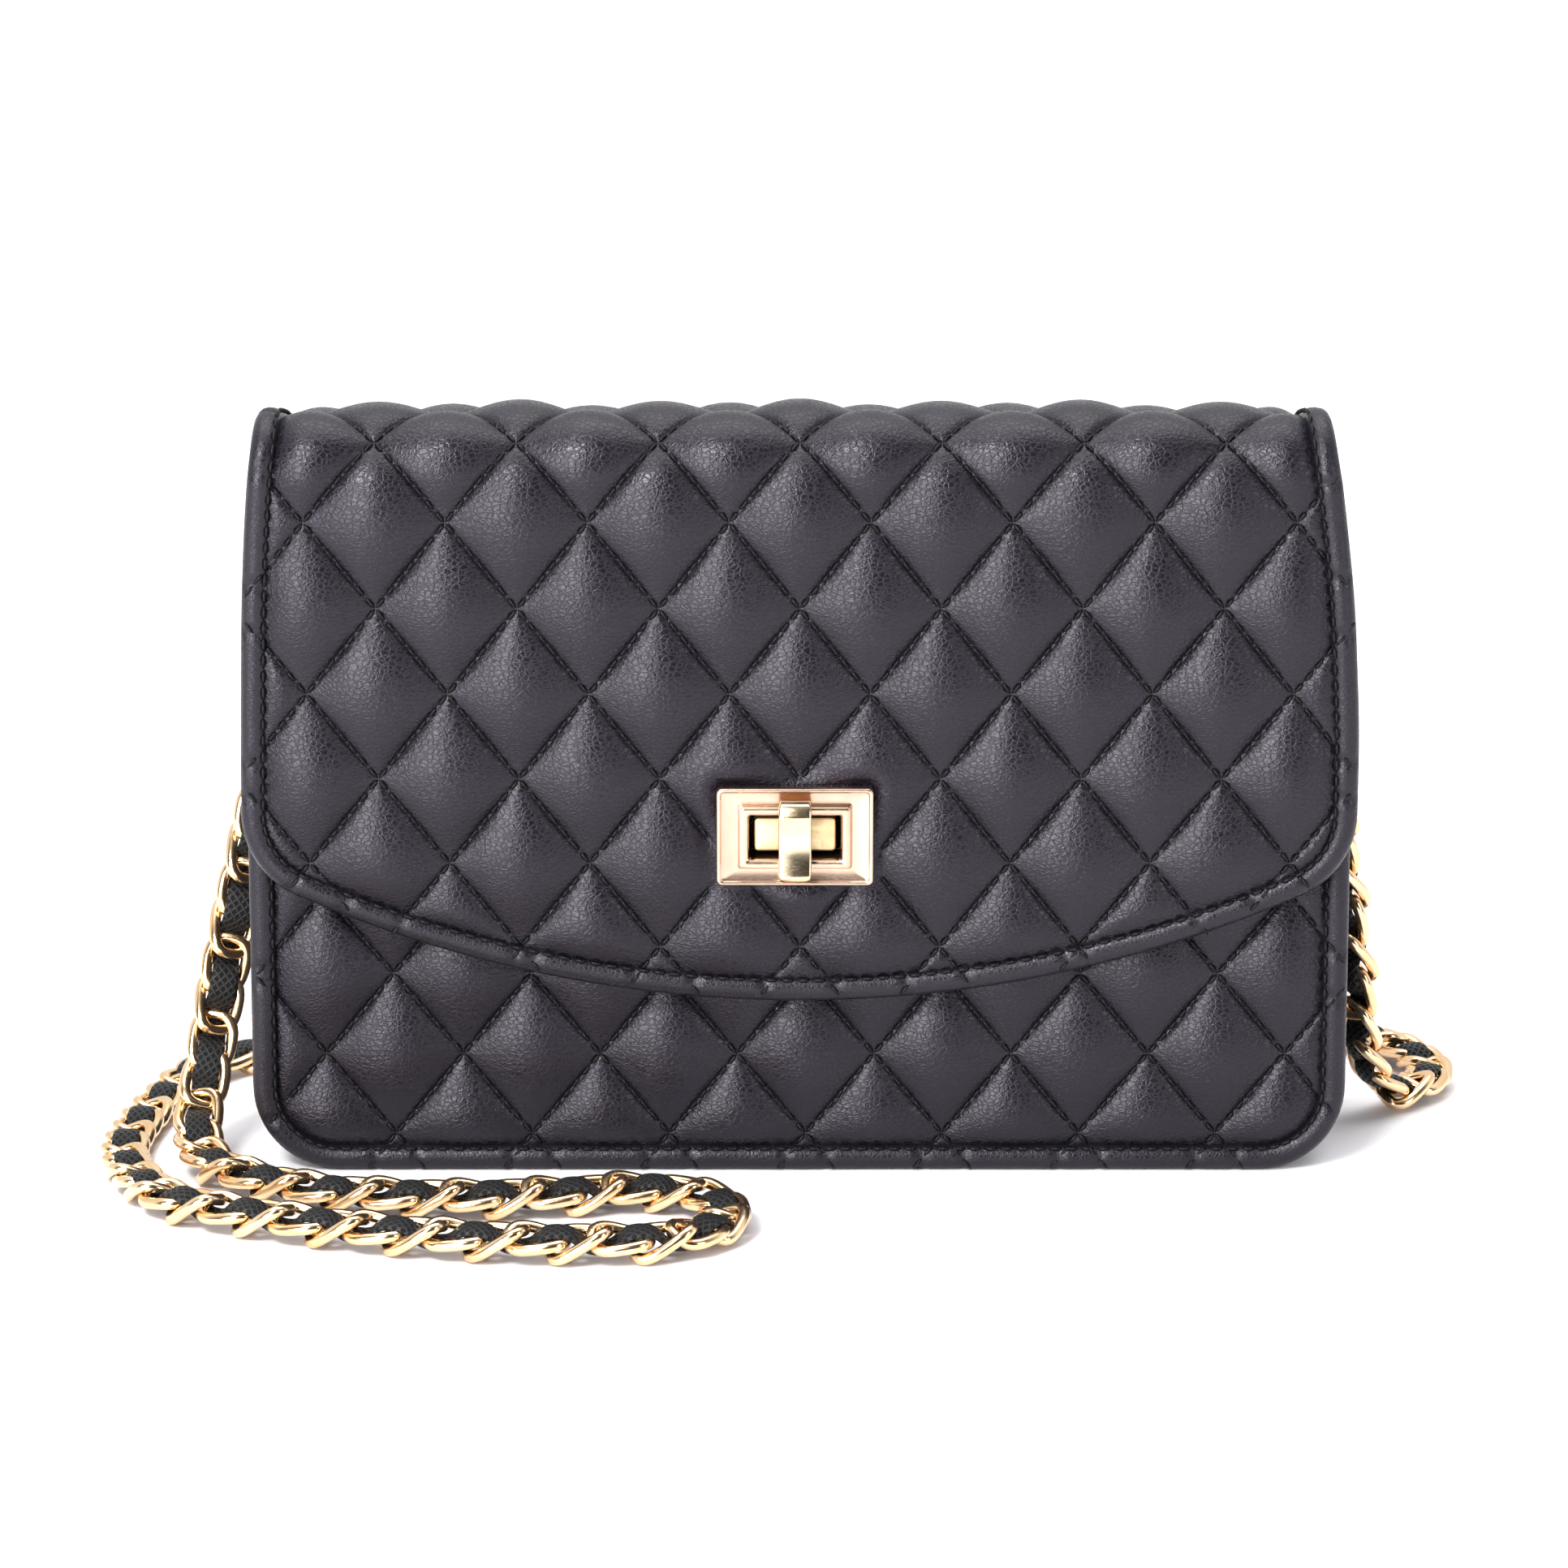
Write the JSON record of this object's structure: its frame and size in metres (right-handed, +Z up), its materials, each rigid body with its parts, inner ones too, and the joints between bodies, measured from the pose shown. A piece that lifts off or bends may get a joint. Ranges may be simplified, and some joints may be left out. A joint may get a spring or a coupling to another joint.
{
  "type": "crossbody purse",
  "caption": "Small quilted flap purse with a turn lock on its front and a chain strap woven with ribbon, standing on its base.",
  "frame": {"origin": "middle of the base, on the surface that the purse stands on", "axes": "+X to the right as seen from the front, +Y from the front to the back, +Z up"},
  "size_m": [0.2589, 0.2125, 0.141],
  "materials": {
    "leather": "semi-gloss pebble grain, black",
    "binding": "semi-gloss rolled edge, black",
    "padding": "soft foam",
    "lining": "matte woven cloth, black",
    "board": "matte stiffener board",
    "gold": "polished pale gold plating",
    "chain": "polished pale gold plating",
    "ribbon": "braided black ribbon with a faint sheen"
  },
  "bodies": {
    "bag": {"front_leather": "leather", "front_padding": "padding", "front_binding": "binding", "back_leather": "leather", "back_padding": "padding", "back_binding": "binding", "gusset_left": "leather", "gusset_right": "leather", "bottom_panel": "leather", "base_board": "board", "lining": "lining", "slip_pocket": "lining", "lock_base": "gold", "lock_washer": "gold", "strap_tab_left": "binding", "strap_tab_right": "binding", "strap_chain": "chain"},
    "flap_top": {"flap_top_leather": "leather", "flap_top_padding": "padding", "flap_top_lining": "lining", "flap_top_binding_left": "binding", "flap_top_binding_right": "binding"},
    "flap_front": {"flap_front_leather": "leather", "flap_front_padding": "padding", "flap_front_lining": "lining", "flap_front_binding": "binding", "lock_frame": "gold", "lock_back_frame": "gold"},
    "lock_knob": {"turn_knob": "gold", "knob_spindle": "gold"},
    "ring_left": {"d_ring_left": "gold"},
    "ring_right": {"d_ring_right": "gold"}
  },
  "joints": [
    {"name": "flap_lift", "type": "hinge", "parent": "bag", "child": "flap_top", "pos_m": [0, 0.02435, 0.1205], "axis": [-1, 0, 0], "range_deg": [0, 110]},
    {"name": "flap_fold", "type": "hinge", "parent": "flap_top", "child": "flap_front", "pos_m": [0, -0.02, 0.14035], "axis": [-1, 0, 0], "range_deg": [0, 70]},
    {"name": "knob_turn", "type": "hinge", "parent": "bag", "child": "lock_knob", "pos_m": [-0.0008, -0.025, 0.0664], "axis": [0, -1, 0], "range_deg": [0, 90]},
    {"name": "ring_swing_left", "type": "hinge", "parent": "bag", "child": "ring_left", "pos_m": [-0.0975, 0, 0.122], "axis": [0, 1, 0], "range_deg": [-10, 20]},
    {"name": "ring_swing_right", "type": "hinge", "parent": "bag", "child": "ring_right", "pos_m": [0.0975, 0, 0.122], "axis": [0, -1, 0], "range_deg": [-10, 20]}
  ]
}
